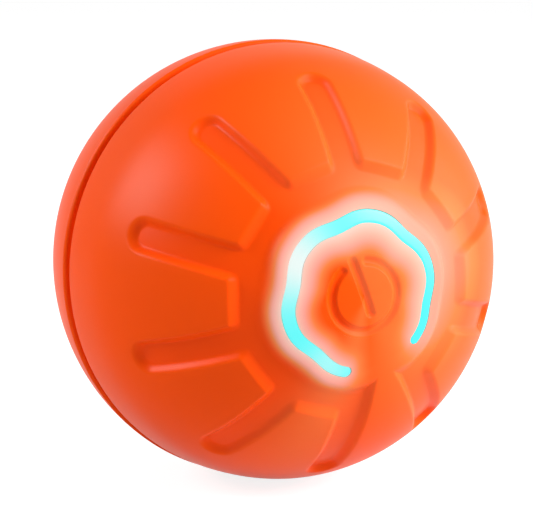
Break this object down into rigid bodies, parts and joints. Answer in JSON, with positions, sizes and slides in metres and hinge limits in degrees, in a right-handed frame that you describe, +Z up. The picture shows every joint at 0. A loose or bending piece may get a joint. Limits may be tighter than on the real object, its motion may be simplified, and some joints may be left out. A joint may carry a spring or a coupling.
{
  "type": "interactive pet ball",
  "caption": "Self-rolling pet ball: soft treaded covers over a sealed shell, with a button, a light strip, a geared swing weight and a charging flap.",
  "frame": {"origin": "centre of the ball", "axes": "+Y along the roll axis towards the charging port, -Y towards the power button, +Z up"},
  "size_m": [0.08, 0.08, 0.08],
  "materials": {
    "cover_orange": "soft matte",
    "button_orange": "soft matte",
    "guide_cyan": "frosted",
    "shell_clear": "clear plastic",
    "seal_black": "matte",
    "frame_white": "moulded",
    "gear_white": "moulded",
    "steel": "ground",
    "weight_steel": "plated",
    "bush_bronze": "sintered",
    "board_green": "solder mask",
    "plastic_black": "moulded",
    "lamp_white": "lens",
    "battery_blue": "wrapped",
    "wire_grey": "sleeve"
  },
  "bodies": {
    "ball": {"axle": "steel", "battery": "battery_blue", "charger_chip": "plastic_black", "controller_chip": "plastic_black", "first_gear_pin": "steel", "flap_pin": "steel", "front_cover": "cover_orange", "front_frame": "frame_white", "front_shell": "shell_clear", "front_shell_screw_1": "steel", "front_shell_screw_2": "steel", "front_shell_screw_3": "steel", "gear_plate": "frame_white", "gear_plate_screw_1": "steel", "gear_plate_screw_2": "steel", "gear_plate_screw_3": "steel", "led_1": "lamp_white", "led_2": "lamp_white", "led_3": "lamp_white", "led_4": "lamp_white", "led_5": "lamp_white", "led_6": "lamp_white", "led_7": "lamp_white", "light_board": "board_green", "light_board_screw_1": "steel", "light_board_screw_2": "steel", "light_guide": "guide_cyan", "main_board": "board_green", "main_board_screw_1": "steel", "main_board_screw_2": "steel", "motor_can": "steel", "motor_cap": "plastic_black", "rear_cover": "cover_orange", "rear_frame": "frame_white", "rear_shell": "shell_clear", "rear_shell_screw_1": "steel", "rear_shell_screw_2": "steel", "rear_shell_screw_3": "steel", "seal_ring": "seal_black", "second_gear_pin": "steel", "switch_body": "plastic_black", "usb_socket": "steel", "wire_harness": "wire_grey"},
    "pendulum": {"weight_carrier": "frame_white", "swing_weight": "weight_steel", "weight_screw_1": "steel", "weight_screw_2": "steel", "final_gear": "gear_white", "front_bush": "bush_bronze", "rear_bush": "bush_bronze"},
    "second_gear_body": {"second_gear": "gear_white"},
    "first_gear_body": {"first_gear": "gear_white"},
    "motor_rotor": {"motor_shaft": "steel", "motor_pinion": "bush_bronze"},
    "button": {"power_button": "button_orange", "button_post": "frame_white"},
    "plunger": {"switch_plunger": "frame_white"},
    "flap": {"port_flap": "cover_orange"}
  },
  "joints": [
    {"name": "pendulum_spin", "type": "hinge", "parent": "ball", "child": "pendulum", "pos_m": [0, 0, 0], "axis": [0, 1, 0], "continuous": true},
    {"name": "second_gear_spin", "type": "hinge", "parent": "ball", "child": "second_gear_body", "pos_m": [0, 0, 0.01431], "axis": [0, 1, 0], "continuous": true},
    {"name": "first_gear_spin", "type": "hinge", "parent": "ball", "child": "first_gear_body", "pos_m": [0.01107, 0, 0.00915], "axis": [0, 1, 0], "continuous": true},
    {"name": "motor_spin", "type": "hinge", "parent": "ball", "child": "motor_rotor", "pos_m": [0.0121, 0, -0.00267], "axis": [0, 1, 0], "continuous": true},
    {"name": "button_press", "type": "slide", "parent": "ball", "child": "button", "axis": [0, 1, 0], "range_m": [0, 0.0005], "stiffness_N_per_m": 400},
    {"name": "plunger_press", "type": "slide", "parent": "ball", "child": "plunger", "axis": [0, 1, 0], "range_m": [0, 0.0005]},
    {"name": "flap_hinge", "type": "hinge", "parent": "ball", "child": "flap", "pos_m": [-0.0102, 0.0375, 0], "axis": [0, 0, 1], "range_deg": [0, 100]}
  ],
  "couplings": [
    {"joint": "second_gear_spin", "follows": "pendulum_spin", "ratio": -3},
    {"joint": "first_gear_spin", "follows": "pendulum_spin", "ratio": 7.2},
    {"joint": "motor_spin", "follows": "pendulum_spin", "ratio": -19.2},
    {"joint": "plunger_press", "follows": "button_press", "ratio": 1}
  ]
}
